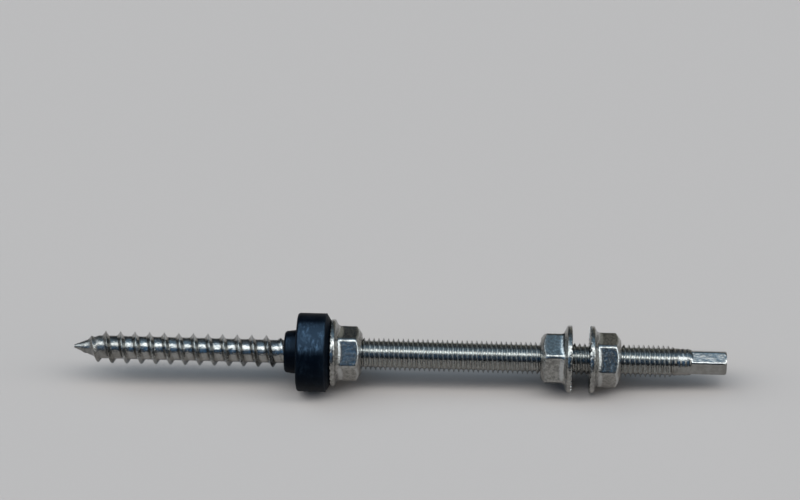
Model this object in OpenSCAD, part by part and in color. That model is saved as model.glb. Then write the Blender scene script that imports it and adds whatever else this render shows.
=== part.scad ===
// Hanger bolt for fixing a bracket through a roof covering into timber.
// It has a wood screw end, a rubber seal, a machine screw end with three toothed flange nuts
// and a hexagonal drive.
// The bolt lies along X with its point towards -X, and the origin is on its axis in the seal's roof face.

/* [Wood screw end] */
// Length of the wood screw, from its point to the lip of the seal
wood_len = 64.9; // [45:0.1:100]
// Diameter over the crest of the wood thread
wood_thread_d = 9.9; // [8.5:0.1:12]
// Diameter of the core between the turns
wood_core_d = 7.1; // [5.5:0.1:7.6]
// Advance of the wood thread in one turn
wood_pitch = 4.5; // [3.5:0.1:6]
// Length of the conical point
point_len = 7.5; // [6:0.5:16]
// Diameter of the blunt end of the point
point_d = 1; // [0.3:0.1:1.5]
// Distance from the point at which the thread starts to rise
thread_start = 1.8; // [1:0.1:4]
// Length over which the thread rises to its full height
thread_rise = 6.5; // [3:0.5:12]
// Length over which the thread fades out in front of the seal
thread_fade = 3; // [1:0.5:6]
// Width of the thread at the core, along the bolt
thread_base = 1.7; // [1:0.1:2.6]
// Width of the thread at its crest
thread_crest = 0.25; // [0.1:0.05:0.6]
// Turn of the wood thread about the bolt, in degrees
wood_turn = 340; // [0:1:359]

/* [Machine screw end] */
// Diameter over the crests of the machine thread
machine_d = 9.85; // [9:0.05:11]
// Advance of the machine thread in one turn
machine_pitch = 1.5; // [1.25:0.25:2]
// Depth of the machine thread
machine_depth = 0.92; // [0.6:0.02:1.1]
// Length of the machine thread
machine_len = 115.1; // [90:0.1:180]
// Length of the tapered lead at the end of the machine thread
lead_len = 3; // [1:0.1:6]
// Diameter of the neck where the lead ends
neck_d = 8.2; // [7.6:0.05:8.8]
// Length of the neck between the thread and the drive
neck_len = 4.3; // [2:0.1:8]
// Taper of the neck towards the drive, over its diameter
neck_taper = 0.2; // [0:0.05:0.5]
// Length over which the flats of the drive run out into the neck
flat_runout = 0.9; // [0.4:0.1:1.5]
// Length of the hexagonal drive
drive_len = 10.7; // [6:0.1:16]
// Size of the drive across its flats
drive_af = 7; // [6:0.1:7.1]
// Amount by which the corners of the drive are rounded off
drive_corner_trim = 0.12; // [0.05:0.01:0.3]
// Length of the chamfer at the end of the drive
drive_chamfer = 0.6; // [0.2:0.1:1]
// Slope of that chamfer from the bolt's axis, in degrees
drive_chamfer_slope = 35; // [20:1:50]
// Turn of the drive about the bolt, in degrees
drive_turn = 55; // [0:1:59]

/* [Seal] */
// Outer diameter of the seal
seal_d = 24.4; // [20:0.1:32]
// Thickness of the disc, from the roof face to the nut
seal_t = 10.3; // [7:0.1:16]
// Length of the boss in front of the roof face
boss_len = 3.9; // [2.5:0.1:7]
// Diameter of the boss where it meets the roof face
boss_d = 13.6; // [12.6:0.1:18]
// Amount by which the boss narrows towards its end, over its diameter
boss_draft = 1; // [0:0.1:2]
// Rounding of the boss's end
boss_round = 1.1; // [0.4:0.1:2]
// Rounding of the disc's edge at the roof face
roof_edge_round = 1; // [0.3:0.1:2]
// Width of the bevel at the nut, along the bolt
nut_bevel_len = 1.5; // [0.5:0.1:3]
// Depth of the bevel at the nut, across the bolt
nut_bevel_depth = 2.4; // [0.5:0.1:3]
// Length of the lip that closes round the plain neck of the bolt
lip_len = 2.4; // [1:0.1:4]
// Length of the shoulder from the plain neck to the machine thread
shoulder_len = 2.6; // [1:0.1:4]
// Gap all round between the seal and the bolt
seal_clearance = 0.1; // [0.05:0.01:0.2]

/* [Flange nuts] */
// Size of the hexagon across its flats
nut_af = 14.9; // [14:0.1:17]
// Height of a nut
nut_h = 9.5; // [8:0.1:14]
// Diameter of the flange
flange_d = 20.6; // [19.6:0.1:24]
// Thickness of the flange at its rim
flange_rim = 1.4; // [0.9:0.1:2]
// Rounding of the two edges of the rim
rim_round = 0.4; // [0.1:0.05:0.6]
// Slope of the flange from its rim to the hexagon, in degrees
flange_slope = 25; // [15:1:32]
// Diameter of the flat at the end of the hexagon
nut_top_d = 12.4; // [12:0.1:13.6]
// Slope of the chamfer at the end of the hexagon, in degrees
nut_chamfer = 36; // [20:1:42]
// Width of the countersinks at both ends of the bore
countersink = 0.5; // [0.2:0.1:0.8]
// Number of teeth on the flange
teeth = 30; // [18:1:36]
// Depth of the teeth
tooth_depth = 0.35; // [0.2:0.05:0.6]
// Width of the grooves between the teeth
tooth_gap = 1; // [0.6:0.1:1.2]
// Width of the plain ring between the bore and the teeth
tooth_ring = 1; // [0.6:0.1:1.6]
// Gap all round between a nut and the bolt
nut_clearance = 0.1; // [0.05:0.01:0.2]

/* [Places of the nuts] */
// Gap between the flanges of the two clamp nuts, for a bracket
clamp_gap = 5.4; // [3.5:0.1:20]
// Length of machine thread left free beyond the outer clamp nut
free_thread = 17.2; // [6:0.1:40]
// Turn of the seal nut about the bolt, in degrees
seal_nut_turn = 20; // [0:1:59]
// Turn of the inner clamp nut about the bolt, in degrees
inner_nut_turn = 46; // [0:1:59]
// Turn of the outer clamp nut about the bolt, in degrees
outer_nut_turn = 20; // [0:1:59]

/* [Hidden] */
$fn = 96;
steel = "#a3a29c";
rubber = "#171d26";

// Distance by which cuts and buried ends run past a surface
past = 1;

// Stations along the bolt, counted from its point
lip_at = wood_len;
roof_face_at = lip_at + boss_len;
seal_end_at = roof_face_at + seal_t;
shoulder_at = lip_at + lip_len;
thread_at = shoulder_at + shoulder_len;
thread_end_at = thread_at + machine_len;
drive_at = thread_end_at + neck_len;
bolt_end_at = drive_at + drive_len;
outer_face_at = thread_end_at - free_thread - nut_h;
inner_face_at = outer_face_at - clamp_gap;

// The plain neck under the lip stands a little proud of the core, and takes its end
neck_step = 0.1;
plain_r = wood_core_d / 2 + neck_step;
machine_r = machine_d / 2;
neck_r = neck_d / 2;
neck_end_r = neck_r - neck_taper / 2;
// Radius of what is buried at the ends of the machine thread
bury = 0.2;
buried_r = min(plain_r, neck_end_r) - bury;
// Share of the shoulder that the plain neck reaches into
neck_share = 0.6;
seal_bore_r = machine_r + seal_clearance;
nut_bore_r = machine_r + nut_clearance;

// Distance from the axis to a corner of a hexagon of a size across its flats
function hex_r(af) = af / sqrt(3);

// Points on an arc about c, from angle a to angle b
function arc(c, r, a, b, steps = 6) =
    [for (k = [0:steps]) c + r * [cos(a + (b - a) * k / steps), sin(a + (b - a) * k / steps)]];

function share(x) = min(1, max(0, x));

// A thread is one closed skin, wound about Z.
// Its rows are the corners of the thread's section: at holds their places along one pitch,
// and height how far each rises from the root, at 0, to the crest, at 1.
// radius is a function that gives the distance from the axis at a place z and a height.
module thread_skin(pitch, at, height, seg, start, turns, turn, radius) {
    rows = len(at);
    last = turns * seg;
    // The first row runs one turn further than the others, because it closes the last turn
    first_row = last + seg + 1;
    function index(i, row) =
        row == 0 ? i
        : row == rows ? i + seg
        : first_row + (row - 1) * (last + 1) + i;
    function place(i, row) =
        let (
            z = start + pitch * i / seg + at[row],
            r = radius(z, height[row]),
            a = turn + 360 * i / seg
        )
        [r * cos(a), r * sin(a), z];
    points = concat(
        [for (i = [0:last + seg]) place(i, 0)],
        [for (row = [1:rows - 1]) for (i = [0:last]) place(i, row)],
        [[0, 0, start - past]],
        [[0, 0, start + pitch * (turns + 1)]]
    );
    start_index = len(points) - 2;
    end_index = len(points) - 1;
    skin = [
        for (i = [0:last - 1]) for (row = [0:rows - 1])
            for (half = [0, 1])
                half == 0
                ? [index(i, row), index(i, row + 1), index(i + 1, row + 1)]
                : [index(i, row), index(i + 1, row + 1), index(i + 1, row)]
    ];
    start_fan = [for (i = [0:seg - 1]) [i, i + 1, start_index]];
    start_wall = [for (row = [0:rows - 1]) [index(0, row + 1), index(0, row), start_index]];
    end_fan = [for (i = [last:last + seg - 1]) [i, end_index, i + 1]];
    end_wall = [for (row = [0:rows - 1]) [index(last, row), index(last, row + 1), end_index]];
    polyhedron(points, concat(skin, start_fan, start_wall, end_fan, end_wall));
}

// The wood thread has steep flanks and a narrow crest. Its first turns are cut off at the point,
// and its last are buried in the plain neck.
wood_seg = 30;
wood_lead_turns = 1.5;
wood_buried_turns = 2;
wood_turns = wood_lead_turns + floor(wood_len / wood_pitch) + wood_buried_turns;
wood_row_at = [0, (thread_base - thread_crest) / 2, (thread_base + thread_crest) / 2, thread_base];
wood_row_height = [0, 1, 1, 0];

function core_r(z) = (point_d + (wood_core_d - point_d) * share(z / point_len)) / 2;
function ridge_h(z) =
    (wood_thread_d - wood_core_d) / 2
    * share((z - thread_start) / thread_rise)
    * share((lip_at - z) / thread_fade);

module wood_thread() {
    cut_len = wood_pitch * wood_lead_turns + 2 * past;
    difference() {
        thread_skin(
            wood_pitch, wood_row_at, wood_row_height, wood_seg,
            -wood_pitch * wood_lead_turns, wood_turns, wood_turn - 360 * wood_lead_turns,
            function (z, h) core_r(z) + ridge_h(z) * h
        );
        translate([0, 0, -cut_len])
            cylinder(h = cut_len, d = wood_thread_d);
    }
}

// The machine thread is a plain vee, which grows out of the plain neck along the shoulder.
// The cone of the lead cuts its last crests down, and both of its ends are buried.
machine_seg = 18;
machine_row_at = [0, machine_pitch / 2];
machine_row_height = [0, 1];
machine_lead_turns = ceil(shoulder_len / machine_pitch);
// A crest lies in the plane where the full thread starts
machine_from = thread_at - machine_pitch * machine_lead_turns - machine_pitch / 2;
// Length over which the roots sink into the neck
machine_runout = 0.6;
machine_turns = ceil((thread_end_at + machine_runout - machine_from) / machine_pitch);

function lead_r(z) = neck_r + (machine_r - neck_r) * (thread_end_at - z) / lead_len;
function machine_thread_r(z, h) =
    let (
        root_r = machine_r - machine_depth,
        full_r = h == 0 ? root_r : max(root_r, min(machine_r, lead_r(z))),
        grown = share((z - shoulder_at) / shoulder_len),
        left = share((thread_end_at + machine_runout - z) / machine_runout)
    )
    buried_r + (full_r - buried_r) * grown * left;

module machine_thread() {
    thread_skin(
        machine_pitch, machine_row_at, machine_row_height, machine_seg,
        machine_from, machine_turns, 0,
        function (z, h) machine_thread_r(z, h)
    );
}

// Plain neck between the two threads, which ends inside the shoulder of the machine thread
module plain_neck() {
    translate([0, 0, lip_at])
        cylinder(h = lip_len + shoulder_len * neck_share, r = plain_r);
}

// Neck between the machine thread and the drive, which starts inside the last turns
module drive_neck() {
    rotate_extrude()
        polygon([
            [0, thread_end_at - past],
            [buried_r, thread_end_at - past],
            [neck_r, thread_end_at],
            [neck_end_r, drive_at],
            [neck_end_r - flat_runout, drive_at + flat_runout],
            [0, drive_at + flat_runout]
        ]);
}

module drive() {
    corner_r = hex_r(drive_af) - drive_corner_trim;
    chamfer_in = drive_chamfer * tan(drive_chamfer_slope);
    rotate([0, 0, drive_turn])
        intersection() {
            translate([0, 0, drive_at - flat_runout])
                cylinder(h = drive_len + flat_runout, r = hex_r(drive_af), $fn = 6);
            rotate_extrude()
                polygon([
                    [0, drive_at - flat_runout],
                    [corner_r, drive_at - flat_runout],
                    [corner_r, bolt_end_at - drive_chamfer],
                    [corner_r - chamfer_in, bolt_end_at],
                    [0, bolt_end_at]
                ]);
        }
}

// Hexagonal nut with a toothed flange at z = 0 and its bore along Z
module flange_nut() {
    flange_r = flange_d / 2;
    corner_r = hex_r(nut_af);
    chamfer_r = corner_r + past;
    top_r = nut_top_d / 2;
    cone_in = flange_r - nut_af / 2 + past;
    hex_from = flange_rim / 2;
    difference() {
        union() {
            rotate_extrude()
                polygon(concat(
                    [[0, 0]],
                    arc([flange_r - rim_round, rim_round], rim_round, -90, 0),
                    arc([flange_r - rim_round, flange_rim - rim_round], rim_round, 0, 90 - flange_slope),
                    [[flange_r - cone_in, flange_rim + cone_in * tan(flange_slope)]],
                    [[0, flange_rim + cone_in * tan(flange_slope)]]
                ));
            intersection() {
                translate([0, 0, hex_from])
                    cylinder(h = nut_h - hex_from, r = corner_r, $fn = 6);
                rotate_extrude()
                    polygon([
                        [0, hex_from],
                        [chamfer_r, hex_from],
                        [chamfer_r, nut_h - (chamfer_r - top_r) * tan(nut_chamfer)],
                        [top_r, nut_h],
                        [0, nut_h]
                    ]);
            }
        }
        nut_bore();
        flange_teeth();
    }
}

module nut_bore() {
    rotate_extrude()
        polygon([
            [0, -past],
            [nut_bore_r + countersink + past, -past],
            [nut_bore_r, countersink],
            [nut_bore_r, nut_h - countersink],
            [nut_bore_r + countersink + past, nut_h + past],
            [0, nut_h + past]
        ]);
}

// Grooves with one steep side, which leave teeth that bite when the nut would turn back
module flange_teeth() {
    inner_r = nut_bore_r + countersink + tooth_ring;
    for (k = [0:teeth - 1])
        rotate([0, 0, k * 360 / teeth])
            translate([inner_r, 0, 0])
                rotate([90, 0, 90])
                    linear_extrude(flange_d / 2 - inner_r + past)
                        polygon([
                            [0, -past],
                            [tooth_gap, -past],
                            [tooth_gap, 0],
                            [0, tooth_depth]
                        ]);
}

// Lays the bolt's axis along X, with the roof face at the origin and angle 0 about the bolt pointing up
module lay() {
    translate([-roof_face_at, 0, 0])
        rotate([0, 90, 0])
            rotate([0, 0, 180])
                children();
}

module hanger_bolt() {
    color(steel)
        lay()
            union() {
                wood_thread();
                plain_neck();
                machine_thread();
                drive_neck();
                drive();
            }
}

module sealing_washer() {
    seal_r = seal_d / 2;
    boss_r = boss_d / 2;
    boss_end_r = boss_r - boss_draft / 2;
    edge_r = seal_r - roof_edge_round;
    lip_r = plain_r + seal_clearance;
    color(rubber)
        lay()
            rotate_extrude()
                polygon(concat(
                    [[lip_r, lip_at]],
                    arc([boss_end_r - boss_round, lip_at + boss_round], boss_round, -90, 0),
                    [[boss_r, roof_face_at]],
                    arc([edge_r, roof_face_at + roof_edge_round], roof_edge_round, -90, 0),
                    [[seal_r, seal_end_at - nut_bevel_len]],
                    [[seal_r - nut_bevel_depth, seal_end_at]],
                    [[seal_bore_r, seal_end_at]],
                    [[seal_bore_r, thread_at - seal_clearance]],
                    [[lip_r, shoulder_at - seal_clearance]]
                ));
}

module seal_nut() {
    color(steel)
        lay()
            translate([0, 0, seal_end_at])
                rotate([0, 0, seal_nut_turn])
                    flange_nut();
}

module inner_clamp_nut() {
    color(steel)
        lay()
            translate([0, 0, inner_face_at])
                rotate([0, 0, inner_nut_turn])
                    rotate([180, 0, 0])
                        flange_nut();
}

module outer_clamp_nut() {
    color(steel)
        lay()
            translate([0, 0, outer_face_at])
                rotate([0, 0, outer_nut_turn])
                    flange_nut();
}

hanger_bolt();
sealing_washer();
seal_nut();
inner_clamp_nut();
outer_clamp_nut();
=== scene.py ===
import bpy
import numpy as np
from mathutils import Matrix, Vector


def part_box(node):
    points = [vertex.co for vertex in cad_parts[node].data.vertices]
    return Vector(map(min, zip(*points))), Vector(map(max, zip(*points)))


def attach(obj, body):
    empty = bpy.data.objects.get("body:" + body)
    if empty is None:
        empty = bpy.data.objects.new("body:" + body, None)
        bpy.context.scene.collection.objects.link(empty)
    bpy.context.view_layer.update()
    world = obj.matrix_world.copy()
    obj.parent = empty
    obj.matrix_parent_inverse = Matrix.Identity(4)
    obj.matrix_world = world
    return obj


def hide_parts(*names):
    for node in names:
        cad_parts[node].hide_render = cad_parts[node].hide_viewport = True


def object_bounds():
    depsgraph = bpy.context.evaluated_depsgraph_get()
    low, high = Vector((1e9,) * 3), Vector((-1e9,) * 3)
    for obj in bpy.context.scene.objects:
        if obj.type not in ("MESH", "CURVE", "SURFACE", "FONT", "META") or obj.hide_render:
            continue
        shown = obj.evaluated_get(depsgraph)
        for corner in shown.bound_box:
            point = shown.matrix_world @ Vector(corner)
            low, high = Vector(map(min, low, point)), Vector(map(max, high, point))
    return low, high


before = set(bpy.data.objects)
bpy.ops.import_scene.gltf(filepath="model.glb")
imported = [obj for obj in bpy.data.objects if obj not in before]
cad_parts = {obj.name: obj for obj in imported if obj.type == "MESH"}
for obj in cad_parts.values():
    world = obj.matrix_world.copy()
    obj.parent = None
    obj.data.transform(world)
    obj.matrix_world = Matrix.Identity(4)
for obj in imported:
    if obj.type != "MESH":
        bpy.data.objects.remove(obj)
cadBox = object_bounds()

scene = bpy.context.scene
scene.view_settings.view_transform = "Standard"
mm = 0.001
weldSize = 0.0005        # a grid in mm, and points at one place on it become one


# The two ends of a node along the bolt, in mm from the bolt's point.
def nodeEnds(node):
    return [round((corner.x - cadBox[0].x) / mm, 3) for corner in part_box(node)]


# Places along the bolt in mm, from its point to the end of the drive.
# The faces that show come from the frame.
stations = {
    "lip": nodeEnds("sealing_washer")[0],
    "join": 66.6,
    "roofFace": round(-cadBox[0].x / mm, 3),
    "threadStart": 69.9,
    "sealEnd": nodeEnds("sealing_washer")[1],
    "innerFace": nodeEnds("inner_clamp_nut")[1],
    "outerFace": nodeEnds("outer_clamp_nut")[0],
    "leadStart": 182.0,
    "threadEnd": 185.0,
    "drive": 189.3,
    "end": nodeEnds("hanger_bolt")[1],
}
print("stations from", stations["lip"], "to", stations["end"])


# A share runs from 0 to 1 as x goes from start to end, up or down, and stays there.
def share(x, start, end):
    return np.clip((x - start) / (end - start), 0, 1)


# The same with a soft start and end: 3 q squared minus 2 q cubed.
def softShare(x, start, end):
    q = share(x, start, end)
    return q * q * (3 - 2 * q)


# A point at a station along the bolt, an angle about it and a radius.
# Stations count from the bolt's point, and angle 0 is up, 90 towards the viewer.
def onBolt(station, angle, radius):
    a = np.radians(angle)
    along = station - stations["roofFace"]
    places = np.broadcast_arrays(along, -radius * np.sin(a), radius * np.cos(a))
    return np.stack(places, -1) * mm


# Quads of a grid whose columns run round the bolt. The last column joins the first,
# as many rows further on as one turn of a thread takes.
def tubeFaces(rows, columns, turnRows=0):
    row, column = np.meshgrid(np.arange(rows - 1), np.arange(columns), indexing="ij")
    nextColumn = (column + 1) % columns
    nextRow = row + turnRows * (column == columns - 1)
    quads = np.stack([
        row * columns + column,
        nextRow * columns + nextColumn,
        (nextRow + 1) * columns + nextColumn,
        (row + 1) * columns + column,
    ], -1)
    return quads[nextRow + 1 < rows]


# A fan of triangles from a ring to the point in its middle.
def capFaces(ring, middle):
    middles = np.full_like(ring, middle)
    return np.stack([np.roll(ring, -1), ring, middles, middles], -1)


# One mesh from points, quads and values at the points: points at one place become one,
# each quad becomes two triangles, and those with no area are dropped.
def makePiece(name, points, quads, values, body, node, material, sharpAngle=35):
    places = np.round(points / (weldSize * mm)).astype(np.int64)
    _, first, index = np.unique(places, axis=0, return_index=True, return_inverse=True)
    quads = index.reshape(-1)[quads]
    faces = np.concatenate([quads[:, [0, 1, 2]], quads[:, [0, 2, 3]]])
    a, b, c = faces.T
    faces = faces[(a != b) & (b != c) & (c != a)]
    points = points[first]
    # faces point outwards where the volume that they close is above zero
    corners = points[faces]
    volume = np.einsum("ij,ij->", corners[:, 0], np.cross(corners[:, 1], corners[:, 2]))
    if volume < 0:
        faces = faces[:, ::-1]
    mesh = bpy.data.meshes.new(name)
    mesh.vertices.add(len(points))
    mesh.vertices.foreach_set("co", points.astype(np.float32).ravel())
    mesh.loops.add(faces.size)
    mesh.loops.foreach_set("vertex_index", faces.astype(np.int32).ravel())
    mesh.polygons.add(len(faces))
    mesh.polygons.foreach_set("loop_start", np.arange(0, faces.size, 3, dtype=np.int32))
    mesh.update(calc_edges=True)
    mesh.validate()
    for key, value in values.items():
        layer = mesh.attributes.new(key, "FLOAT", "POINT")
        layer.data.foreach_set("value", value[first].astype(np.float32))
    mesh.polygons.foreach_set("use_smooth", np.ones(len(mesh.polygons), bool))
    mesh.set_sharp_from_angle(angle=np.radians(sharpAngle))
    piece = bpy.data.objects.new(name, mesh)
    scene.collection.objects.link(piece)
    mesh.materials.append(material)
    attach(piece, body)
    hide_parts(node)
    print(name, len(mesh.vertices), "points", len(mesh.polygons), "faces")


# Rounds the corners of a closed outline. Each corner is (radius, height, angle), and is replaced by
# a curve that leaves one side and joins the next at the tangent points of the given rounding:
# the square of 1 minus q times its start, 2 q (1 minus q) times the corner, q squared times its end.
def roundedOutline(corners, rounding, steps):
    sharpest = 0.9999    # keeps a corner that folds back from dividing by zero
    sideShare = 0.45     # a curve takes no more than this share of a side
    before, after = np.roll(corners, 1, -2), np.roll(corners, -1, -2)
    toBefore, toAfter = before - corners, after - corners
    lenBefore = np.linalg.norm(toBefore[..., :2], axis=-1)
    lenAfter = np.linalg.norm(toAfter[..., :2], axis=-1)
    cosine = (toBefore[..., :2] * toAfter[..., :2]).sum(-1) / (lenBefore * lenAfter)
    half = np.arccos(np.clip(cosine, -sharpest, sharpest)) / 2
    reach = np.minimum(rounding / np.tan(half), sideShare * np.minimum(lenBefore, lenAfter))
    start = corners + toBefore * (reach / lenBefore)[..., None]
    end = corners + toAfter * (reach / lenAfter)[..., None]
    q = np.linspace(0, 1, steps)[:, None]
    leaving = (1 - q) ** 2 * start[..., None, :]
    turning = 2 * q * (1 - q) * corners[..., None, :]
    joining = q ** 2 * end[..., None, :]
    return (leaving + turning + joining).reshape(*corners.shape[:-2], -1, 3)


# Puts a value on a socket, or links another socket to it.
def feed(tree, socket, value):
    if isinstance(value, bpy.types.NodeSocket):
        tree.links.new(value, socket)
    else:
        socket.default_value = value


# A shader node with its settings and inputs. An input goes by its name, or by i and its number.
def addNode(tree, kind, settings=None, **inputs):
    node = tree.nodes.new(kind)
    for key, value in (settings or {}).items():
        setattr(node, key, value)
    for key, value in inputs.items():
        numbered = key[1:].isdigit()
        feed(tree, node.inputs[int(key[1:])] if numbered else node.inputs[key], value)
    return node


# One operation on two or three values.
def mathNode(tree, operation, a, b=0.0, c=0.0, clamp=False):
    settings = {"operation": operation, "use_clamp": clamp}
    return addNode(tree, "ShaderNodeMath", settings, i0=a, i1=b, i2=c).outputs[0]


# Colour a where the amount is 0 and colour b where it is 1, or b added to or multiplied with a.
def mixColors(tree, amount, a, b, blend="MIX"):
    settings = {"data_type": "RGBA", "blend_type": blend}
    return addNode(tree, "ShaderNodeMix", settings, i0=amount, i6=a, i7=b).outputs[2]


# Runs softly from 0 to 1 as the value goes from low to high, up or down.
def rampNode(tree, value, low, high):
    settings = {"interpolation_type": "SMOOTHSTEP"}
    return addNode(tree, "ShaderNodeMapRange", settings, i0=value, i1=low, i2=high).outputs[0]


# Noise about 0.5, with its own detail.
def noiseNode(tree, place, scale, detail, roughness=0.5):
    inputs = {"Vector": place, "Scale": scale, "Detail": detail, "Roughness": roughness}
    return addNode(tree, "ShaderNodeTexNoise", **inputs).outputs[0]


# Where a point lies on the object.
def objectPlace(tree):
    return addNode(tree, "ShaderNodeTexCoord").outputs["Object"]


# A value that the mesh holds at its points.
def meshValue(tree, name):
    return addNode(tree, "ShaderNodeAttribute", {"attribute_name": name}).outputs["Fac"]


# An empty group with its inputs and outputs.
def newGroup(name, inputs, outputs):
    group = bpy.data.node_groups.new(name, "ShaderNodeTree")
    for key, kind, value in inputs:
        socket = group.interface.new_socket(key, in_out="INPUT", socket_type=kind)
        socket.default_value = value
    for key, kind in outputs:
        group.interface.new_socket(key, in_out="OUTPUT", socket_type=kind)
    given = group.nodes.new("NodeGroupInput").outputs
    put = group.nodes.new("NodeGroupOutput").inputs
    return group, given, put


# Ramps over noise, and how much each of them counts.
steelSkin = {
    "patchDetail": 3.0,
    "patchRoughness": 0.55,
    "fineRatio": 4.5,
    "fineDetail": 2.0,
    "fineRoughness": 0.6,
    "cloudy": (0.35, 0.68),
    "pitted": (0.60, 0.74),
    "pitTone": 0.6,
    "pitDepth": 0.25,
    "roughness": 0.15,
    "cloudyRoughness": 0.08,
    "pitRoughness": 0.06,
}


# Steel that was rolled or pressed: cloudy patches and fine pits, both duller and rougher
# than the rest, and a height that follows them.
def steelFinishGroup():
    group, given, put = newGroup("steelFinish", [
        ("Patch size", "NodeSocketFloat", 1.0),
        ("Patch tone", "NodeSocketFloat", 0.2),
        ("Pits", "NodeSocketFloat", 0.3),
        ("Pale", "NodeSocketColor", (0.5, 0.5, 0.5, 1)),
        ("Dull", "NodeSocketColor", (0.3, 0.3, 0.3, 1)),
    ], [("Color", "NodeSocketColor"), ("Roughness", "NodeSocketFloat"), ("Height", "NodeSocketFloat")])
    skin = steelSkin
    place = objectPlace(group)
    patchScale = mathNode(group, "DIVIDE", 1 / mm, given["Patch size"])
    patches = noiseNode(group, place, patchScale, skin["patchDetail"], skin["patchRoughness"])
    fineScale = mathNode(group, "MULTIPLY", patchScale, skin["fineRatio"])
    fine = noiseNode(group, place, fineScale, skin["fineDetail"], skin["fineRoughness"])
    cloudy = rampNode(group, patches, *skin["cloudy"])
    pits = rampNode(group, fine, *skin["pitted"])
    dullness = mathNode(group, "MULTIPLY", cloudy, given["Patch tone"])
    spotted = mathNode(group, "MULTIPLY", pits, given["Pits"])
    tone = mathNode(group, "ADD", dullness, mathNode(group, "MULTIPLY", spotted, skin["pitTone"]), clamp=True)
    feed(group, put["Color"], mixColors(group, tone, given["Pale"], given["Dull"]))
    rough = mathNode(group, "MULTIPLY_ADD", cloudy, skin["cloudyRoughness"], skin["roughness"])
    pitRough = mathNode(group, "MULTIPLY", pits, skin["pitRoughness"])
    feed(group, put["Roughness"], mathNode(group, "ADD", rough, pitRough))
    sunk = mathNode(group, "MULTIPLY", spotted, skin["pitDepth"])
    feed(group, put["Height"], mathNode(group, "SUBTRACT", patches, sunk))
    return group


# Ramps over the exposure and over the noise that breaks the grime up.
crevice = {
    "breakUpScale": 0.7,
    "breakUpDetail": 3.0,
    "breakUp": (0.25, 0.6),
    "grimy": (0.45, 1.0),
    "worn": (0.7, 1.0),
}


# Grime where the exposure on the surface is low, and bare bright metal or worn rubber where it is high.
# Clean falls from 1 where grime lies.
def creviceGroup():
    group, given, put = newGroup("creviceTone", [
        ("Color", "NodeSocketColor", (0.5, 0.5, 0.5, 1)),
        ("Grime", "NodeSocketColor", (0.05, 0.05, 0.05, 1)),
        ("Worn", "NodeSocketColor", (0.8, 0.8, 0.8, 1)),
        ("Exposure", "NodeSocketFloat", 0.5),
        ("Grime amount", "NodeSocketFloat", 0.5),
        ("Worn amount", "NodeSocketFloat", 0.5),
    ], [("Color", "NodeSocketColor"), ("Clean", "NodeSocketFloat")])
    breakUp = noiseNode(group, objectPlace(group), crevice["breakUpScale"] / mm, crevice["breakUpDetail"])
    low = mathNode(group, "SUBTRACT", 1.0, given["Exposure"])
    grime = mathNode(group, "MULTIPLY", rampNode(group, low, *crevice["grimy"]), given["Grime amount"])
    grime = mathNode(group, "MULTIPLY", grime, rampNode(group, breakUp, *crevice["breakUp"]), clamp=True)
    rubbed = rampNode(group, given["Exposure"], *crevice["worn"])
    worn = mathNode(group, "MULTIPLY", rubbed, given["Worn amount"], clamp=True)
    grimy = mixColors(group, grime, given["Color"], given["Grime"])
    feed(group, put["Color"], mixColors(group, worn, grimy, given["Worn"]))
    feed(group, put["Clean"], mathNode(group, "SUBTRACT", 1.0, grime))
    return group


steelFinish = steelFinishGroup()
creviceTone = creviceGroup()


# An empty material, with its tree and its shader.
def newMaterial(name):
    material = bpy.data.materials.new(name)
    material.use_nodes = True
    tree = material.node_tree
    return material, tree, tree.nodes["Principled BSDF"]


# A group in a material. patchSize here is the socket that the group calls Patch size.
def useGroup(tree, group, **inputs):
    node = addNode(tree, "ShaderNodeGroup", {"node_tree": group})
    for key, value in inputs.items():
        words = "".join(" " + letter.lower() if letter.isupper() else letter for letter in key)
        feed(tree, node.inputs[words.capitalize()], value)
    return node.outputs


# Stainless steel: polished patches and duller ones, grime in the hollows, bright worn edges.
# Where the mesh is less uneven the steel is glossier and less bumpy, and grime takes the metal away.
def steelMaterial(name, look):
    material, tree, shader = newMaterial(name)
    finish = useGroup(tree, steelFinish, patchSize=look["patchSize"], patchTone=look["patchTone"],
                      pits=look["pits"], pale=look["pale"], dull=look["dull"])
    tone = useGroup(tree, creviceTone, color=finish["Color"], grime=look["grime"], worn=look["worn"],
                    exposure=meshValue(tree, "exposure"),
                    grimeAmount=look["grimeAmount"], wornAmount=look["wornAmount"])
    feed(tree, shader.inputs["Base Color"], tone["Color"])
    feed(tree, shader.inputs["Metallic"], tone["Clean"])
    uneven = meshValue(tree, "uneven")
    gloss = mathNode(tree, "MULTIPLY", mathNode(tree, "SUBTRACT", 1.0, uneven), look["gloss"])
    feed(tree, shader.inputs["Roughness"], mathNode(tree, "SUBTRACT", finish["Roughness"], gloss))
    height = mathNode(tree, "MULTIPLY", finish["Height"], uneven)
    bump = addNode(tree, "ShaderNodeBump", Strength=1.0, Distance=look["bump"] * mm, Height=height)
    feed(tree, shader.inputs["Normal"], bump.outputs[0])
    return material


# Patch sizes and bump heights are in mm.
boltLook = {
    "pale": (0.255, 0.25, 0.236, 1),
    "dull": (0.15, 0.14, 0.122, 1),
    "grime": (0.07, 0.065, 0.06, 1),
    "worn": (0.56, 0.57, 0.56, 1),
    "patchSize": 1.6,
    "patchTone": 0.6,
    "pits": 0.25,
    "grimeAmount": 0.45,
    "wornAmount": 0.9,
    "bump": 0.2,
    "gloss": 0.1,
}
nutLook = {
    "pale": (0.34, 0.335, 0.315, 1),
    "dull": (0.13, 0.125, 0.115, 1),
    "grime": (0.07, 0.065, 0.06, 1),
    "worn": (0.50, 0.51, 0.50, 1),
    "patchSize": 0.9,
    "patchTone": 0.7,
    "pits": 0.5,
    "grimeAmount": 0.4,
    "wornAmount": 0.8,
    "bump": 0.1,
    "gloss": 0.0,
}
boltSteel = steelMaterial("rolledSteel", boltLook)
nutSteel = steelMaterial("pressedSteel", nutLook)

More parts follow.
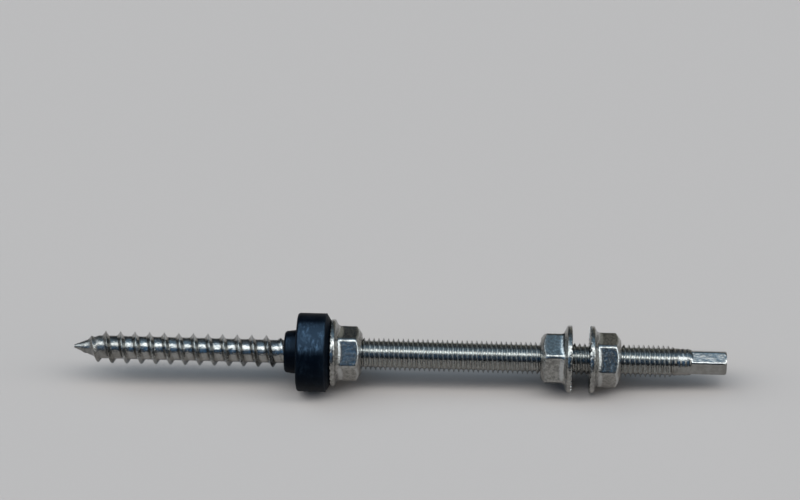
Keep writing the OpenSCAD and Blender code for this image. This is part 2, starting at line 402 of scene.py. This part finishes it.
# Scales are in turns of the noise per mm, angles in degrees.
rubberLook = {
    "base": (0.0006, 0.0018, 0.0042, 1),
    "grime": (0.001, 0.0012, 0.0016, 1),
    "worn": (0.006, 0.009, 0.013, 1),
    "grimeAmount": 0.8,
    "wornAmount": 0.6,
    # colour of the chalk marks and of the painted sheen on the upper front
    "chalkAndPaintedSheen": (0.090, 0.150, 0.225, 1),
    "paintedSheenAngle": 27,
    "paintedSheenSpread": (0.87, 1.0),
    "bareOver": (0.1, 0.4),
    "strokeTurn": 25,
    "strokeStretch": (1.0, 0.45, 0.45),
    "strokeScale": 1.1,
    "strokeDetail": 4.0,
    "strokeRoughness": 0.65,
    "streaky": (0.42, 0.75),
    "patchScale": 0.25,
    "patchDetail": 2.0,
    "patchy": (0.35, 0.65),
    "markHaze": 0.75,
    "plainHaze": 0.22,
    "faintMarks": 0.05,
    "roughness": 0.48,
    "chalkAndSheenRoughness": 0.3,
    "grainScale": 6,
    "grainDetail": 3.0,
    "grainStrength": 0.25,
    "grainHeight": 0.05,
    "gloss": 0.05,
    "glossTint": (0.6, 0.8, 1.0, 1),
}


# Black rubber with a faint navy cast. A chalky bloom lies on it in short strokes, faint all round and strong
# on the upper front, where a painted sheen lightens the side that faces the light: an even haze plus the
# marks, both times how far a place faces the light and lies bare.
def rubberMaterial(name, look):
    material, tree, shader = newMaterial(name)
    place = objectPlace(tree)
    exposure = meshValue(tree, "exposure")
    tone = useGroup(tree, creviceTone, color=look["base"], grime=look["grime"], worn=look["worn"],
                    exposure=exposure, grimeAmount=look["grimeAmount"], wornAmount=look["wornAmount"])
    # the upper front that faces the light is lightened here as a painted highlight; only the faint marks lie
    # all round
    lean = np.radians(look["paintedSheenAngle"])
    normal = addNode(tree, "ShaderNodeNewGeometry").outputs["Normal"]
    facing = addNode(tree, "ShaderNodeVectorMath", {"operation": "DOT_PRODUCT"},
                     i0=normal, i1=(0, -np.sin(lean), np.cos(lean)))
    paintedSheenFacing = rampNode(tree, facing.outputs["Value"], *look["paintedSheenSpread"])
    turn = (0, 0, np.radians(look["strokeTurn"]))
    turned = addNode(tree, "ShaderNodeMapping", Vector=place, Rotation=turn, Scale=look["strokeStretch"])
    strokes = noiseNode(tree, turned.outputs[0], look["strokeScale"] / mm,
                        look["strokeDetail"], look["strokeRoughness"])
    patches = noiseNode(tree, place, look["patchScale"] / mm, look["patchDetail"])
    streaky = rampNode(tree, strokes, *look["streaky"])
    patchy = rampNode(tree, patches, *look["patchy"])
    marks = mathNode(tree, "MULTIPLY", streaky, patchy)
    haze = mathNode(tree, "MULTIPLY_ADD", marks, look["markHaze"], look["plainHaze"])
    paintedSheenOnBare = mathNode(tree, "MULTIPLY", paintedSheenFacing, rampNode(tree, exposure, *look["bareOver"]))
    faint = mathNode(tree, "MULTIPLY", marks, look["faintMarks"])
    chalkAndPaintedSheen = mathNode(tree, "MULTIPLY_ADD", haze, paintedSheenOnBare, faint, clamp=True)
    feed(tree, shader.inputs["Base Color"], mixColors(tree, chalkAndPaintedSheen, tone["Color"], look["chalkAndPaintedSheen"]))
    rough = mathNode(tree, "MULTIPLY_ADD", chalkAndPaintedSheen, look["chalkAndSheenRoughness"], look["roughness"])
    feed(tree, shader.inputs["Roughness"], rough)
    grain = noiseNode(tree, place, look["grainScale"] / mm, look["grainDetail"])
    bump = addNode(tree, "ShaderNodeBump", Strength=look["grainStrength"],
                   Distance=look["grainHeight"] * mm, Height=grain)
    feed(tree, shader.inputs["Normal"], bump.outputs[0])
    shader.inputs["Specular IOR Level"].default_value = look["gloss"]
    shader.inputs["Specular Tint"].default_value = look["glossTint"]
    return material


sealRubber = rubberMaterial("navyBlackRubber", rubberLook)
print("materials made")

# The bolt: a wood thread, a machine thread and a hexagonal drive in one skin.
# Lengths and radii are in mm, angles in degrees. Tones are exposures, from grimy 0 to worn bright 1.
bolt = {
    "columns": 72,
    # wood thread
    "woodPitch": 4.5,
    "woodCore": 3.55,
    "woodCrest": 4.95,
    "woodTurn": 340,
    "woodCrestAt": 0.85,
    "ridgeHalf": 1.1,
    "ridgeRows": 12,
    "ridgeCrowd": 1.5,
    "landRows": 6,
    "crestHalf": 0.06,
    "flankCurve": 1.35,
    "pointLen": 7.5,
    "pointRadius": 0.5,
    "ridgeStart": 1.8,
    "ridgeRise": 6.5,
    "ridgeFade": 3.0,
    "plainNeck": 3.65,
    "neckRise": 0.4,
    "woodTone": 0.8,
    "crestWear": 0.1,
    # the foot of the ridge is darkened as a painted shadow
    "footPaintedShadow": 0.3,
    "footShadowOver": (0.55, 1.4),
    "footShadowRidge": 0.3,
    "pointGrime": 0.5,
    "pointGrimeOver": (6, 16),
    "sealSideOver": (55, 58),
    "unevenWood": 1.2,
    # machine thread: from its crest at 0 to its root at half a pitch
    "machinePitch": 1.5,
    "machineCrest": 4.92,
    "threadDepth": 0.92,
    "flankAt": [0, 0.045, 0.065, 0.095, 0.34, 0.375, 0.43, 0.5],
    "flankHeight": [1, 1, 0.977, 0.892, 0.2, 0.1, 0.05, 0.05],
    # crests darkened and flanks lightened: painted shade and painted light that even out the thread's
    # reflections
    "flankPaintedTone": [0, 0, 0.6, 1, 1, 0.8, 0.5, 0.5],
    "leadTone": 0.5,
    "rootRiseAfter": 1,
    "unevenThread": 0.25,
    # neck and drive
    "neck": 4.1,
    "neckEnd": 4.0,
    "neckRound": 0.7,
    "neckRows": 26,
    "lastTurns": 0.075,
    "turnsRise": 0.6,
    "turnsFade": 1.5,
    "flatRunout": 0.9,
    "runoutRows": 16,
    "driveFlat": 3.5,
    "driveCorner": 3.92,
    "driveTurn": 55,
    "driveRows": 6,
    "cornerCrowd": 0.65,
    "chamfer": 0.6,
    "chamferIn": 0.42,
    "chamferRows": 5,
    "driveTone": 0.77,
    "unevenNeck": 1.1,
    "unevenDrive": 0.6,
    # middles of the two ends
    "endTone": 0.5,
    "unevenEnd": 0.2,
}
columnAngles = np.arange(bolt["columns"]) * 360 / bolt["columns"]


# Rows of a thread, wound round the bolt: each turn has the same offsets from its crest,
# and each column lies a little further along than the one before.
def threadStations(pitch, offsets, crestAt, start, end):
    turns = np.arange(np.floor((start - crestAt) / pitch) - 2, np.ceil((end - crestAt) / pitch) + 2)
    rows = (turns[:, None] * pitch + offsets).ravel()
    columns = np.arange(bolt["columns"]) / bolt["columns"] * pitch
    return np.clip(crestAt + rows[:, None] + columns, start, end), np.tile(offsets, len(turns))[:, None]


# Wood thread: a cone and a plain core, plus a ridge whose flanks are hollow, a power of the way
# from its foot to its crest. The ridge grows from the point and fades before the seal.
# Grime lies on the point. The foot of the ridge is darkened as a painted shadow, and the flanks of the last
# turns that face the seal take the full grime tone.
def woodEnd():
    lip, pitch, half = stations["lip"], bolt["woodPitch"], bolt["ridgeHalf"]
    q = np.linspace(-1, 1, bolt["ridgeRows"])
    ridge = half * np.sign(q) * np.abs(q) ** bolt["ridgeCrowd"]
    land = np.linspace(half, pitch - half, bolt["landRows"])[1:-1]
    offsets = np.concatenate([ridge, land])
    crestAt = bolt["woodCrestAt"] - bolt["woodTurn"] / 360 * pitch
    s, x = threadStations(pitch, offsets, crestAt, 0, stations["join"])
    away = np.minimum(np.abs(x), np.abs(x - pitch))
    flank = (1 - share(away, bolt["crestHalf"], half)) ** bolt["flankCurve"]
    core = bolt["pointRadius"] + (bolt["woodCore"] - bolt["pointRadius"]) * share(s, 0, bolt["pointLen"])
    core = core + (bolt["plainNeck"] - bolt["woodCore"]) * softShare(s, lip - bolt["neckRise"], lip)
    fullHeight = bolt["woodCrest"] - bolt["woodCore"]
    height = fullHeight * share(s, bolt["ridgeStart"], bolt["ridgeStart"] + bolt["ridgeRise"])
    height = height * share(s, lip, lip - bolt["ridgeFade"])
    tone = bolt["woodTone"] + bolt["crestWear"] * flank * height / fullHeight
    tone = tone - bolt["pointGrime"] * (1 - softShare(s, *bolt["pointGrimeOver"]))
    # the flanks of the last turns that face the seal take exposure 0: the full grime tone, dark and dull
    sealSideDark = share(s, *bolt["sealSideOver"]) * (x > bolt["crestHalf"]) * (x < half)
    tone = tone * (1 - sealSideDark)
    # painted shadow along the foot of the ridge
    footStart, footEnd = bolt["footShadowOver"]
    footShadow = (away > half * footStart) & (away < half * footEnd) & (height > bolt["footShadowRidge"])
    tone = tone - bolt["footPaintedShadow"] * footShadow
    return s, columnAngles, core + height * flank, tone, bolt["unevenWood"], len(offsets)


# Machine thread: straight flanks between a rolled crest and a round root. The cone of the lead cuts
# the crests down, and the root rises to meet it at the neck.
def machineEnd():
    pitch, neck, crest = bolt["machinePitch"], bolt["neck"], bolt["machineCrest"]
    leadStart, threadEnd = stations["leadStart"], stations["threadEnd"]
    half = np.array(bolt["flankAt"][1:-1])
    offsets = np.concatenate([-half[::-1], half]) * pitch
    s, x = threadStations(pitch, offsets, stations["threadStart"], stations["join"], threadEnd)
    fromCrest = np.abs(x) / pitch
    root = crest - bolt["threadDepth"]
    thread = root + bolt["threadDepth"] * np.interp(fromCrest, bolt["flankAt"], bolt["flankHeight"])
    lead = crest + (neck - crest) * share(s, leadStart, threadEnd)
    base = root + (neck - root) * share(s, leadStart + bolt["rootRiseAfter"], threadEnd)
    radius = np.maximum(np.minimum(thread, lead), base)
    begun = softShare(s, stations["join"], stations["threadStart"])
    radius = bolt["plainNeck"] + (radius - bolt["plainNeck"]) * begun
    # the crests take grime and the flanks the worn colour as painted shade and painted light
    tone = np.interp(fromCrest, bolt["flankAt"], bolt["flankPaintedTone"])
    tone = tone + (bolt["leadTone"] - tone) * softShare(s, leadStart, threadEnd)
    return s, columnAngles, radius, tone, bolt["unevenThread"], len(offsets)


# Neck and drive: the larger of the tapered neck and a hexagon with trimmed corners, cut by the end's
# chamfer. Faint turns of the thread run out over the neck, which rounds off into the flats.
def driveEnd():
    threadEnd, drive, end = stations["threadEnd"], stations["drive"], stations["end"]
    runStart, runEnd = drive - bolt["flatRunout"], drive + bolt["flatRunout"]
    chamferAt = end - bolt["chamfer"]
    s = np.concatenate([
        np.linspace(threadEnd, runStart, bolt["neckRows"], endpoint=False),
        np.linspace(runStart, runEnd, bolt["runoutRows"], endpoint=False),
        np.linspace(runEnd, chamferAt, bolt["driveRows"], endpoint=False),
        np.linspace(chamferAt, end, bolt["chamferRows"]),
    ])[:, None]
    # columns crowd towards the hexagon's corners
    crowd = bolt["cornerCrowd"]
    q = ((columnAngles - bolt["driveTurn"] + 30) % 60 - 30) / 30
    crowded = columnAngles + 30 * ((1 - crowd) * q + crowd * q ** 3 - q)
    angle = columnAngles + (crowded - columnAngles) * softShare(s, threadEnd, runStart)
    corner = np.abs((angle - bolt["driveTurn"] + 30) % 60 - 30)
    hexagon = np.minimum(bolt["driveFlat"] / np.cos(np.radians(30 - corner)), bolt["driveCorner"])
    neck = bolt["neck"] + (bolt["neckEnd"] - bolt["neck"]) * share(s, threadEnd, drive)
    turns = (s - stations["threadStart"]) / bolt["machinePitch"] - angle / 360
    rising = softShare(s, threadEnd, threadEnd + bolt["turnsRise"])
    fading = rising * share(s, drive, drive - bolt["turnsFade"])
    neck = neck + bolt["lastTurns"] * fading * np.cos(2 * np.pi * turns)
    over, soft = s - drive, bolt["neckRound"]
    neck = neck - np.where(over < soft, np.maximum(over + soft, 0) ** 2 / (4 * soft), over)
    radius = np.maximum(neck, np.where(s >= runStart, hexagon, 0))
    cone = bolt["driveCorner"] - bolt["chamferIn"] * share(s, chamferAt, end)
    radius = np.where(s > chamferAt, np.minimum(radius, cone), radius)
    uneven = np.where(s < runStart, bolt["unevenNeck"], bolt["unevenDrive"])
    return np.broadcast_to(s, radius.shape), angle, radius, bolt["driveTone"], uneven, 0


# The three stretches follow each other in one mesh, and a fan closes each end.
def hangerBolt():
    points, quads, exposure, uneven, count = [], [], [], [], 0
    for s, angle, radius, tone, bumps, turnRows in (woodEnd(), machineEnd(), driveEnd()):
        points.append(onBolt(s, angle, radius).reshape(-1, 3))
        quads.append(tubeFaces(*s.shape, turnRows) + count)
        exposure.append(np.broadcast_to(tone, s.shape).ravel())
        uneven.append(np.broadcast_to(bumps, s.shape).ravel())
        count += s.size
    points += [onBolt(np.array([0.0]), 0, 0), onBolt(np.array([stations["end"]]), 0, 0)]
    exposure.append(np.full(2, bolt["endTone"]))
    uneven.append(np.full(2, bolt["unevenEnd"]))
    ring = np.arange(bolt["columns"])
    quads += [capFaces(ring, count), capFaces(count - 1 - ring, count + 1)]
    values = {"exposure": np.concatenate(exposure), "uneven": np.concatenate(uneven)}
    makePiece("hangerBolt", np.concatenate(points), np.concatenate(quads), values,
              "bolt", "hanger_bolt", boltSteel)


hangerBolt()

# Seal: the outline of the turned mould, with soft corners and a slightly wavy skin.
# Each wave has a height in mm, a count round the seal and a turn in degrees.
seal = {
    "columns": 192,
    "radius": 12.2,
    "skin": 12.1,
    "skinRound": 1.0,
    "bossRadius": 6.8,
    "bossEnd": 6.3,
    "bossRound": 1.1,
    "stepRound": 0.35,
    "flashFoot": 0.25,
    "flashFootRound": 0.1,
    "flashRound": 0.06,
    "bevelLen": 1.5,
    "bevelDepth": 2.4,
    "bevelRound": 0.3,
    "lipRadius": 3.72,
    "lipRound": 0.25,
    "boreRadius": 5.0,
    "boreRound": 0.2,
    "threadGap": 0.1,
    "shoulder": 67.2,
    "steps": 6,
    "waves": [(0.03, 3, 40), (0.02, 7, 0)],
    "waveSink": 0.05,
    "skinTone": 0.4,
    "flashWear": 0.6,
    "flashWearIn": 0.3,
    "flashWearBack": 0.5,
    # the bevel next to the seal nut is darkened as painted shade
    "bevelPaintedShade": 0.1,
    "bevelShadeAfter": 0.3,
    "bossTone": 0.24,
    "bossToneOut": 0.1,
}


# The rounded outline is turned about the bolt. Its disc sinks by a sum of sine waves round the seal.
def sealingWasher():
    lip, roof, end = stations["lip"], stations["roofFace"], stations["sealEnd"]
    flash = end - seal["bevelLen"]
    boreRound = seal["boreRound"]
    outline = np.array([
        [seal["lipRadius"], lip, seal["lipRound"]],
        [seal["bossEnd"], lip, seal["bossRound"]],
        [seal["bossRadius"], roof, seal["stepRound"]],
        [seal["skin"], roof, seal["skinRound"]],
        [seal["skin"], flash - seal["flashFoot"], seal["flashFootRound"]],
        [seal["radius"], flash, seal["flashRound"]],
        [seal["radius"] - seal["bevelDepth"], end, seal["bevelRound"]],
        [seal["boreRadius"], end, boreRound],
        [seal["boreRadius"], stations["threadStart"] - seal["threadGap"], boreRound],
        [seal["lipRadius"], seal["shoulder"], boreRound],
    ])
    corners = np.concatenate([outline[:, :2], np.zeros((len(outline), 1))], -1)
    ring = roundedOutline(corners, outline[:, 2], seal["steps"])
    ring = np.concatenate([ring, ring[:1]])
    radius, along = ring[:, 0], ring[:, 1]
    angle = np.arange(seal["columns"]) * 360 / seal["columns"]
    sway = sum(height * np.sin(np.radians(count * angle + turn)) for height, count, turn in seal["waves"])
    soft = share(radius, seal["bossRadius"], seal["skin"])[:, None]
    points = onBolt(along[:, None], angle, radius[:, None] - soft * (seal["waveSink"] + sway))
    onFlash = share(radius, seal["skin"] - seal["flashWearIn"], seal["radius"])
    tone = seal["skinTone"] + seal["flashWear"] * onFlash * (along > flash - seal["flashWearBack"])
    # painted shade on the bevel next to the seal nut
    tone = np.where(along > flash + seal["bevelShadeAfter"], seal["bevelPaintedShade"], tone)
    tone = np.where(radius < seal["bossRadius"] + seal["bossToneOut"], seal["bossTone"], tone)
    values = {"exposure": np.repeat(tone, seal["columns"])}
    makePiece("sealingWasher", points.reshape(-1, 3), tubeFaces(len(ring), seal["columns"]), values,
              "bolt", "sealing_washer", sealRubber)


sealingWasher()

# Flange nut: teeth under a thin flange, a cone up to the hexagon, and a turned chamfer at its end.
# Heights count from the toothed face.
nut = {
    "flat": 7.45,
    "cornerRound": 1.5,
    "cornerCrowd": 0.75,
    "flatRows": (0.05, 0.95),
    "height": 9.5,
    "flange": 10.3,
    "rim": 1.4,
    "rimRound": 0.65,
    "toothedRimRound": 0.4,
    "slope": 25,
    "fillet": 2.0,
    "topRadius": 6.2,
    "topRound": 0.35,
    "chamfer": 36,
    "chamferRound": 0.7,
    "bore": 5.025,
    "boreRound": 0.1,
    "countersink": 0.5,
    "teeth": 30,
    "toothDepth": 0.35,
    "toothGap": 1.0,
    "toothRing": 1.0,
    "toothStep": 0.05,
    "toothRound": 0.02,
    "toothColumns": 12,
    "steepShare": 0.04,
    "steps": 6,
    "sharpAngle": 50,
    "plainTone": 0.5,
    "uneven": 1.0,
}
nutPlaces = {
    "sealNut": {
        "face": stations["sealEnd"], "way": 1, "turn": 20, "cornerWear": 0.5, "chamferWear": 0.4,
        "body": "seal_nut", "node": "seal_nut",
    },
    "innerClampNut": {
        "face": stations["innerFace"], "way": -1, "turn": 46, "cornerWear": 0.5, "chamferWear": -0.2,
        "body": "inner_nut", "node": "inner_clamp_nut",
    },
    "outerClampNut": {
        "face": stations["outerFace"], "way": 1, "turn": 20, "cornerWear": -0.1, "chamferWear": 0.5,
        "body": "outer_nut", "node": "outer_clamp_nut",
    },
}
# Where a nut is worn or grimy: ranges of radius or of distance, with how much each counts.
nutWear = {
    "cornerOver": (7.9, 8.35),
    "cornerAbove": 2.2,
    "boreOver": (6.4, 5.2),
    "coneInner": (8.0, 8.6),
    "coneOuter": (9.9, 9.4),
    "coneAbove": 1,
    # grime in the bore, and a painted dark reflection across the middle of the cone
    "grimeAndShadeAmount": 0.3,
    "filletLift": 0.5,
    "filletOver": (1.1, 0.6),
    "filletRadius": 7.3,
    "filletOut": 0.6,
    # the fillet is lightened as a painted highlight
    "filletPaintedHighlight": 0.5,
    "chamferOver": (0.6, 0.3),
    "chamferIn": 0.6,
}


# Distance from the axis to a hexagon with round corners: an arc near each corner, the flat between them.
def hexRadius(angle):
    corner = np.radians(np.abs((angle + 30) % 60 - 30))
    rounding, halfSide = nut["cornerRound"], np.radians(30)
    centre = (nut["flat"] - rounding) / np.cos(halfSide)
    tangent = np.arctan2(rounding * np.sin(halfSide), centre + rounding * np.cos(halfSide))
    inside = np.minimum(corner, tangent)
    arc = centre * np.cos(inside) + np.sqrt(rounding ** 2 - (centre * np.sin(inside)) ** 2)
    return np.where(corner < tangent, arc, nut["flat"] / np.cos(halfSide - corner))


# Height of the toothed face: a groove is deepest at its steep side and rises evenly across its width.
def toothHeight(angle, radius):
    across = np.radians(angle % (360 / nut["teeth"])) * radius
    rising = nut["toothDepth"] * (1 - share(across, 0, nut["toothGap"]))
    return np.where(across > 0, rising, 0)


# Exposure of a nut: worn along the hexagon's corners and the edge of its chamfer, lightened along its fillet
# as a painted highlight, grimy in the bore, and darkened in the middle of the cone as a painted reflection.
def nutTone(radius, height, angle, wall, coneFoot, wallTop, place):
    wear = nutWear
    corner = share(hexRadius(angle), *wear["cornerOver"])
    corner = corner * (radius > nut["flat"]) * (height > wear["cornerAbove"])
    # a dark band across the middle of the cone: painted reflection
    cone = share(radius, *wear["coneInner"]) * share(radius, *wear["coneOuter"])
    cone = cone * (height > wear["coneAbove"])
    boreGrimeAndConeShade = share(radius, *wear["boreOver"]) + cone
    fillet = share(np.abs(height - coneFoot - wear["filletLift"]), *wear["filletOver"])
    fillet = fillet * (radius < wall + wear["filletOut"]) * (radius > wear["filletRadius"])
    edge = share(np.abs(height - wallTop), *wear["chamferOver"]) * (radius > wall - wear["chamferIn"])
    worn = corner * place["cornerWear"]
    worn = worn + (place["chamferWear"] - worn) * edge
    # the fillet is lightened as a painted highlight
    worn = np.where(fillet > 0, wear["filletPaintedHighlight"] * fillet, worn)
    return nut["plainTone"] + worn - wear["grimeAndShadeAmount"] * np.clip(boreGrimeAndConeShade, 0, 1)


# The rounded outline is turned about the bolt. As far as the flange's rim its radius and height depend
# on the tooth that a column meets, and beyond it on the hexagon.
def flangeNut(name, place):
    perTooth, columns = nut["toothColumns"], nut["toothColumns"] * nut["teeth"]
    column = np.arange(columns)
    # columns crowd at the steep side of each tooth, and at the corners of the hexagon
    part = np.interp(column % perTooth, [0, 1, perTooth], [0, nut["steepShare"], 1])
    toothAngle = (column // perTooth + part) * 360 / nut["teeth"]
    sector, crowd = columns // 6, nut["cornerCrowd"]
    q = ((column + sector // 2) % sector - sector // 2) / (sector / 2)
    hexAngle = (column + sector // 2) // sector * 60 + 30 * ((1 - crowd) * q + crowd * q ** 3)
    bore, sink, flange, top = nut["bore"], nut["countersink"], nut["flange"], nut["height"]
    ringEnd = bore + sink + nut["toothRing"]
    wall = hexRadius(hexAngle)
    coneFoot = nut["rim"] + (flange - wall) * np.tan(np.radians(nut["slope"]))
    wallTop = top - (wall - nut["topRadius"]) * np.tan(np.radians(nut["chamfer"]))
    lower = [
        (bore, sink, toothAngle, nut["boreRound"]),
        (bore + sink, 0, toothAngle, nut["boreRound"]),
        (ringEnd, 0, toothAngle, nut["toothRound"]),
        (ringEnd + nut["toothStep"], toothHeight(toothAngle, ringEnd), toothAngle, nut["toothRound"]),
        (flange, toothHeight(toothAngle, flange), toothAngle, nut["toothedRimRound"]),
        (flange, nut["rim"], toothAngle, nut["rimRound"]),
        (wall, coneFoot, hexAngle, nut["fillet"]),
    ]
    upper = [
        (wall, wallTop, hexAngle, nut["chamferRound"]),
        (nut["topRadius"], top, hexAngle, nut["topRound"]),
        (bore + sink, top, hexAngle, nut["boreRound"]),
        (bore, top - sink, hexAngle, nut["boreRound"]),
    ]
    corners = [np.stack(np.broadcast_arrays(r, z, a), -1) for r, z, a, _ in lower + upper]
    rounding = np.array([corner[3] for corner in lower + upper])
    ring = roundedOutline(np.stack(corners, -2).astype(float), rounding, nut["steps"])
    ring = np.swapaxes(ring, 0, 1)
    # two rows near the ends of the hexagon's flats keep them flat in between
    flatRow = len(lower) * nut["steps"]
    flatFoot, flatTop = ring[flatRow - 1], ring[flatRow]
    support = [flatFoot + (flatTop - flatFoot) * at for at in nut["flatRows"]]
    ring = np.concatenate([ring[:flatRow], support, ring[flatRow:], ring[:1]])
    radius, height, angle = ring[..., 0], ring[..., 1], ring[..., 2]
    points = onBolt(place["face"] + place["way"] * height, place["turn"] + place["way"] * angle, radius)
    tone = nutTone(radius, height, angle, wall, coneFoot, wallTop, place)
    values = {"exposure": tone.ravel(), "uneven": np.full(tone.size, nut["uneven"])}
    makePiece(name, points.reshape(-1, 3), tubeFaces(*radius.shape), values,
              place["body"], place["node"], nutSteel, nut["sharpAngle"])


for name, place in nutPlaces.items():
    flangeNut(name, place)

# Stage: a pale floor that lies a little under the seal and the outer nut.
# Its size is in metres and its drop in mm.
stage = {
    "floorSize": 9.0,
    "floorColor": (0.470, 0.415, 0.380, 1),
    "floorRoughness": 0.9,
    "floorGloss": 0.1,
    "floorDrop": 0.02,
}


# A plane whose slope runs from the lowest point of the seal to that of the outer nut's flange.
def makeFloor():
    sealX = stations["sealEnd"] - seal["bevelLen"] - stations["roofFace"]
    nutX = stations["outerFace"] + nut["rim"] / 2 - stations["roofFace"]
    slope = (seal["radius"] - nut["flange"]) / (nutX - sealX)
    half = stage["floorSize"] / 2
    corners = np.array([[-half, -half], [half, -half], [half, half], [-half, half]])
    height = slope * (corners[:, 0] - sealX * mm) - (seal["radius"] + stage["floorDrop"]) * mm
    mesh = bpy.data.meshes.new("floor")
    mesh.from_pydata(np.column_stack([corners, height]).tolist(), [], [(0, 1, 2, 3)])
    floor = bpy.data.objects.new("floor", mesh)
    scene.collection.objects.link(floor)
    material, _, shader = newMaterial("paleFloor")
    shader.inputs["Base Color"].default_value = stage["floorColor"]
    shader.inputs["Roughness"].default_value = stage["floorRoughness"]
    shader.inputs["Specular IOR Level"].default_value = stage["floorGloss"]
    mesh.materials.append(material)


# Room: a long soft light hangs above the bolt, a little towards the viewer, in a dim bluish room.
# Each stop is an angle from straight up, with the viewer's side above zero, and the light from there.
# The light is wide and bluish at its edge on the left, and narrow and brighter on the right.
# A soft panel stands on each side, from the first to the second of each pair of edges.
room = {
    "left": [
        (-180, (0.10, 0.10, 0.10)),
        (-90, (0.06, 0.06, 0.06)),
        (-70, (0.03, 0.045, 0.06)),
        (-45, (0.09, 0.11, 0.135)),
        (-18, (0.21, 0.34, 0.47)),
        (-2, (0.36, 0.57, 0.79)),
        (8, (2.10, 2.30, 2.50)),
        (13, (3.90, 4.20, 4.40)),
        (26, (3.90, 4.20, 4.40)),
        (33, (1.60, 1.80, 1.95)),
        (41, (0.30, 0.42, 0.58)),
        (50, (0.09, 0.24, 0.47)),
        (90, (0.08, 0.09, 0.10)),
        (180, (0.10, 0.10, 0.10)),
    ],
    "right": [
        (-180, (0.10, 0.10, 0.10)),
        (-90, (0.26, 0.26, 0.23)),
        (-70, (0.27, 0.27, 0.24)),
        (-45, (0.12, 0.13, 0.14)),
        (-18, (0.21, 0.34, 0.47)),
        (-2, (0.36, 0.57, 0.79)),
        (8, (2.10, 2.30, 2.50)),
        (12, (5.60, 5.95, 6.20)),
        (18, (5.60, 5.95, 6.20)),
        (24, (1.70, 1.90, 2.05)),
        (32, (0.25, 0.32, 0.38)),
        (50, (0.04, 0.05, 0.06)),
        (90, (0.06, 0.06, 0.06)),
        (180, (0.10, 0.10, 0.10)),
    ],
    "middle": (-0.07, 0.07),
    "panels": [
        {"color": (1.35, 1.50, 1.60, 1), "across": (-0.28, -0.50), "back": (-38, -26), "front": (10, -4)},
        {"color": (1.30, 1.32, 1.32, 1), "across": (0.42, 0.70), "back": (26, 38), "front": (70, 56)},
    ],
}


# The room's colour is a ramp over the angle about the bolt, blended from left to right across the
# middle, plus the panels. A ramp holds colours up to 1, so they are divided by the brightest first.
def makeRoom():
    world = bpy.data.worlds.new("room")
    scene.world = world
    world.use_nodes = True
    tree = world.node_tree
    direction = addNode(tree, "ShaderNodeTexCoord").outputs["Generated"]
    parts = addNode(tree, "ShaderNodeSeparateXYZ", Vector=direction).outputs
    front = mathNode(tree, "MULTIPLY", parts["Y"], -1.0)
    angle = mathNode(tree, "ARCTAN2", front, parts["Z"])
    turn = addNode(tree, "ShaderNodeMapRange", i0=angle, i1=-np.pi, i2=np.pi).outputs[0]
    brightest = max(max(color) for side in ("left", "right") for _, color in room[side])
    halves = []
    for side in ("left", "right"):
        ramp = addNode(tree, "ShaderNodeValToRGB", i0=turn)
        ramp.color_ramp.interpolation = "EASE"
        stops = ramp.color_ramp.elements
        for step, (degrees, color) in enumerate(room[side]):
            at = (degrees + 180) / 360
            stop = stops[step] if step < 2 else stops.new(at)
            stop.position = at
            stop.color = (*(c / brightest for c in color), 1)
        halves.append(ramp.outputs[0])
    across = rampNode(tree, parts["X"], *room["middle"])
    color = mixColors(tree, across, *halves)
    color = mixColors(tree, 1.0, color, (*([brightest] * 3), 1), "MULTIPLY")
    for panel in room["panels"]:
        beside = rampNode(tree, parts["X"], *panel["across"])
        for edge in ("back", "front"):
            beside = mathNode(tree, "MULTIPLY", beside, rampNode(tree, angle, *np.radians(panel[edge])))
        color = mixColors(tree, beside, color, panel["color"], "ADD")
    background = tree.nodes["Background"]
    feed(tree, background.inputs["Color"], color)
    background.inputs["Strength"].default_value = 1.0


# Lens, sensor and places are in mm, and the start of the clip in metres.
# The camera stands off from the target and looks at the aim.
view = {
    "lens": 121.5,
    "sensor": 36,
    "clipStart": 0.01,
    "target": (31.2, 0, 0),
    "distance": 828.78,
    "elevation": 40,
    "yaw": 2.3785,
    "aim": (29.367, 52.32, 0),
}


# The way back from the target turns by the yaw about the vertical and rises by the elevation.
def makeCamera():
    data = bpy.data.cameras.new("camera")
    data.lens = view["lens"]
    data.sensor_width = view["sensor"]
    data.clip_start = view["clipStart"]
    camera = bpy.data.objects.new("camera", data)
    rise, turn = np.radians(view["elevation"]), np.radians(view["yaw"])
    back = Vector((np.sin(turn) * np.cos(rise), -np.cos(turn) * np.cos(rise), np.sin(rise)))
    camera.location = (Vector(view["target"]) + back * view["distance"]) * mm
    look = Vector(view["aim"]) * mm - camera.location
    camera.rotation_euler = look.to_track_quat("-Z", "Y").to_euler()
    scene.collection.objects.link(camera)
    scene.camera = camera


makeFloor()
makeRoom()
makeCamera()
print("stage made")
